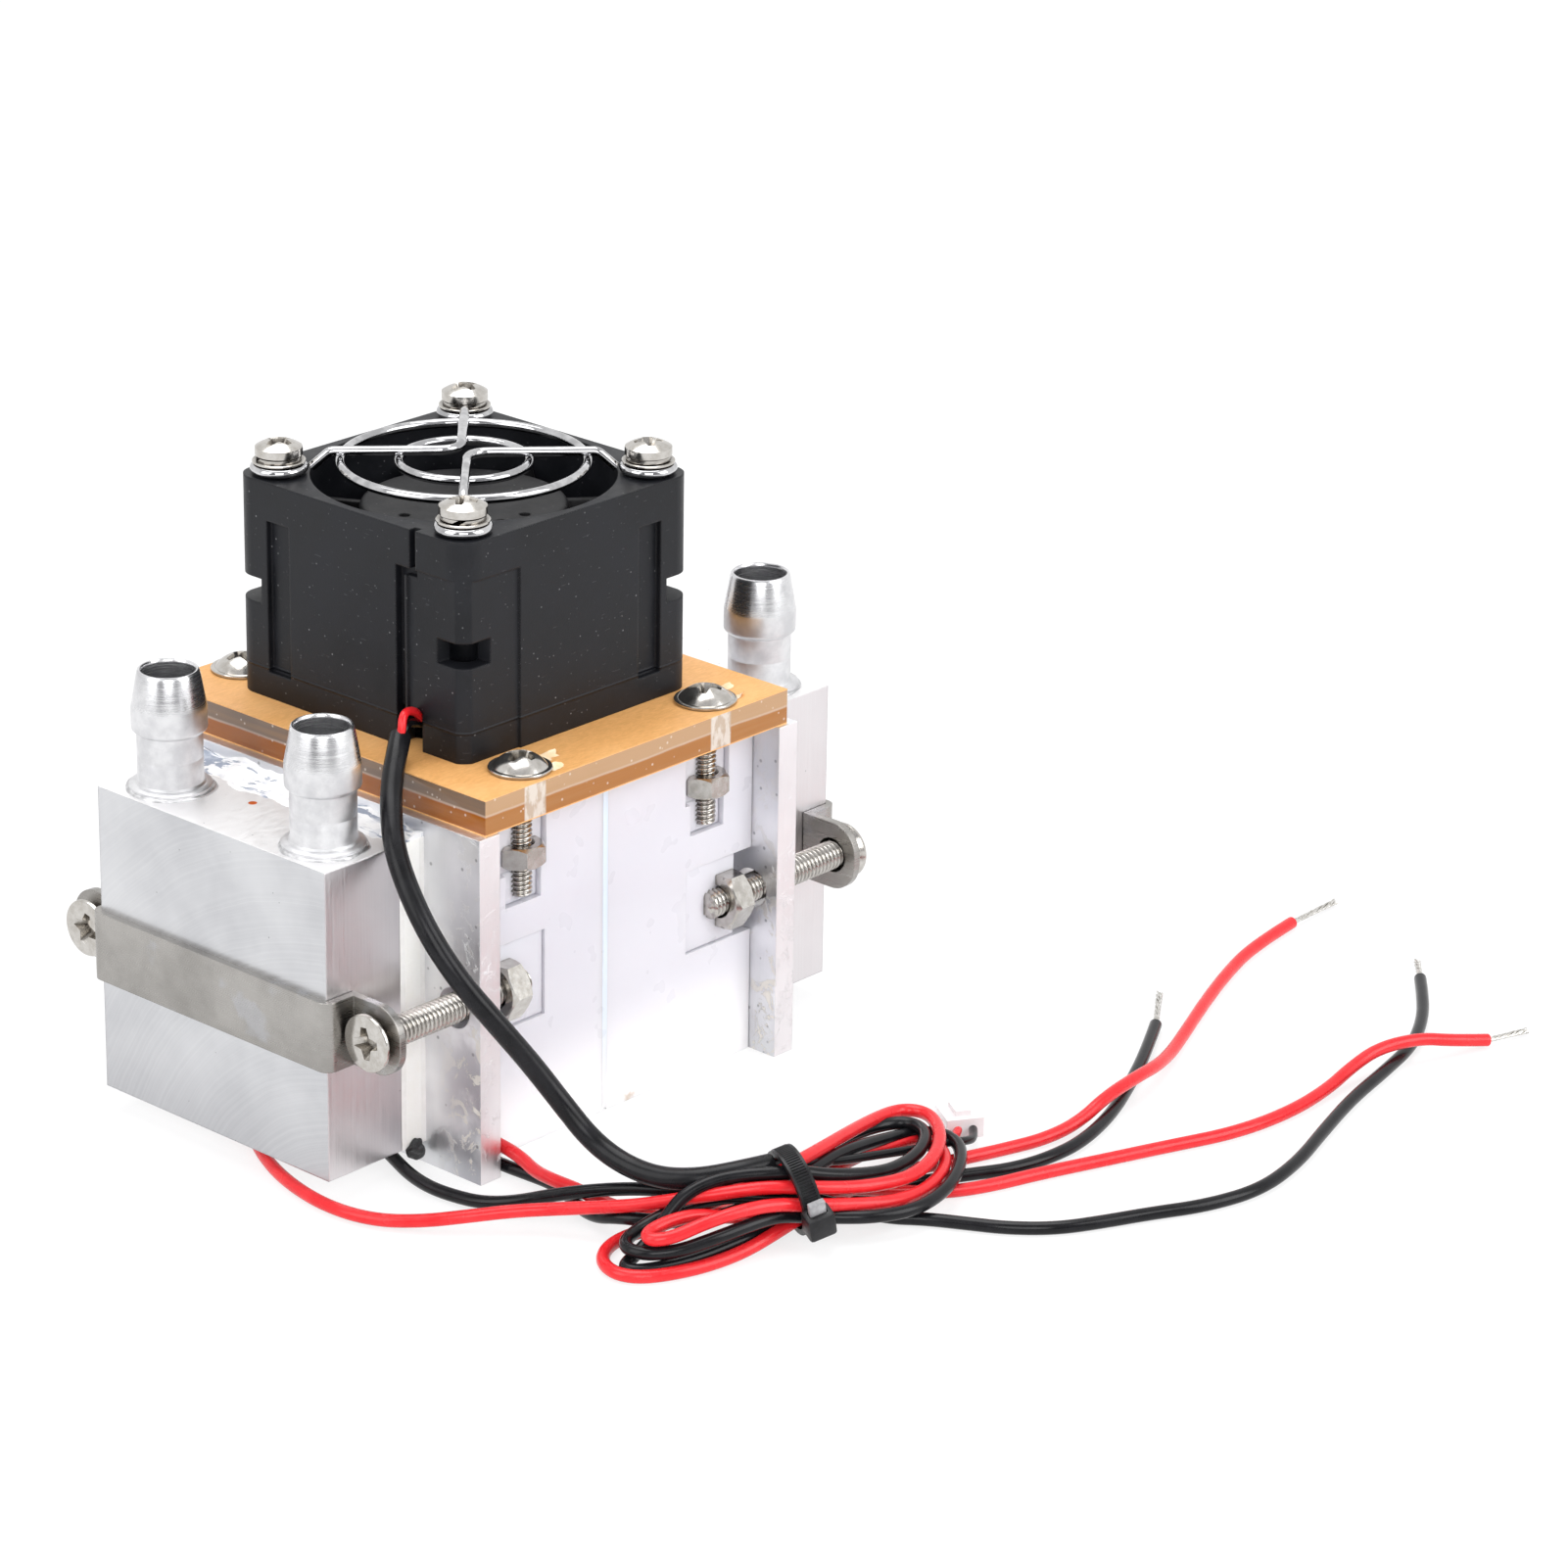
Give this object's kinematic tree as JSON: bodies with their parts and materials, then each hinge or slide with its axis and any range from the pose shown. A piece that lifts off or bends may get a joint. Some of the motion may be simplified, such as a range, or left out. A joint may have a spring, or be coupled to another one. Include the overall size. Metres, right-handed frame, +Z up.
{
  "type": "thermoelectric cooling module",
  "caption": "Thermoelectric cooler: finned heat sinks under an axial fan, each clamped through a thermoelectric module to a water block with hose barbs, with bundled leads.",
  "frame": {"origin": "middle of the foot, in the plane of the heat sinks' lower ends", "axes": "+X along the clamped stack from one water block to the other, +Y away from the face beside the coiled leads, +Z up along the fan's axis"},
  "size_m": [0.163, 0.1291, 0.0822],
  "materials": {
    "sink_aluminium": "extruded, dulled",
    "block_aluminium": "milled",
    "barb_aluminium": "turned",
    "white_ceramic": "matt",
    "seal_white": "matt",
    "pellet_metal": "sawn",
    "strap_steel": "plated",
    "screw_nickel": "plated",
    "clear_acrylic": "polished, see-through",
    "film_paper": "matt",
    "side_white": "milky",
    "fan_black": "moulded",
    "ferrite": "matt",
    "laminations": "stacked sheet",
    "copper_wire": "enamelled",
    "board_green": "lacquered",
    "bearing_steel": "ground",
    "guard_chrome": "bright",
    "lead_red": "satin",
    "lead_black": "satin",
    "tinned_copper": "tinned",
    "plug_white": "moulded",
    "tie_black": "moulded"
  },
  "bodies": {
    "module": {"bare_ends": "tinned_copper", "bearings": "bearing_steel", "cable_tie": "tie_black", "clamp_nuts": "screw_nickel", "clamp_screw_back_left": "screw_nickel", "clamp_screw_back_right": "screw_nickel", "clamp_screw_front_left": "screw_nickel", "clamp_screw_front_right": "screw_nickel", "clamp_strap_left": "strap_steel", "clamp_strap_right": "strap_steel", "clear_plate": "clear_acrylic", "fan_frame": "fan_black", "fan_guard": "guard_chrome", "fan_lead": "lead_black", "fan_lead_wires": "lead_black", "fan_screw_back_left": "screw_nickel", "fan_screw_back_right": "screw_nickel", "fan_screw_front_left": "screw_nickel", "fan_screw_front_right": "screw_nickel", "guard_washers": "screw_nickel", "heat_sink_left": "sink_aluminium", "heat_sink_right": "sink_aluminium", "hose_barb_back_left": "barb_aluminium", "hose_barb_back_right": "barb_aluminium", "hose_barb_front_left": "barb_aluminium", "hose_barb_front_right": "barb_aluminium", "lead_black_left": "lead_black", "lead_black_right": "lead_black", "lead_hank": "lead_black", "lead_plug": "plug_white", "lead_red_left": "lead_red", "lead_red_right": "lead_red", "module_ceramics_left": "white_ceramic", "module_ceramics_right": "white_ceramic", "module_pellets_left": "pellet_metal", "module_pellets_right": "pellet_metal", "module_seal_left": "seal_white", "module_seal_right": "seal_white", "motor_board": "board_green", "paper_films": "film_paper", "plate_nuts": "screw_nickel", "plate_screw_back_left": "screw_nickel", "plate_screw_back_right": "screw_nickel", "plate_screw_front_left": "screw_nickel", "plate_screw_front_right": "screw_nickel", "side_piece_back_left": "side_white", "side_piece_back_right": "side_white", "side_piece_front_left": "side_white", "side_piece_front_right": "side_white", "stator_core": "laminations", "stator_winding": "copper_wire", "tail_black_left": "lead_black", "tail_black_right": "lead_black", "tail_red_left": "lead_red", "tail_red_right": "lead_red", "water_block_left": "block_aluminium", "water_block_right": "block_aluminium"},
    "rotor": {"impeller": "fan_black", "magnet_ring": "ferrite", "rotor_shaft": "bearing_steel"}
  },
  "joints": [
    {"name": "fan_spin", "type": "hinge", "parent": "module", "child": "rotor", "pos_m": [-0.00085, 0.00043, 0.0636], "axis": [0, 0, 1], "continuous": true}
  ]
}
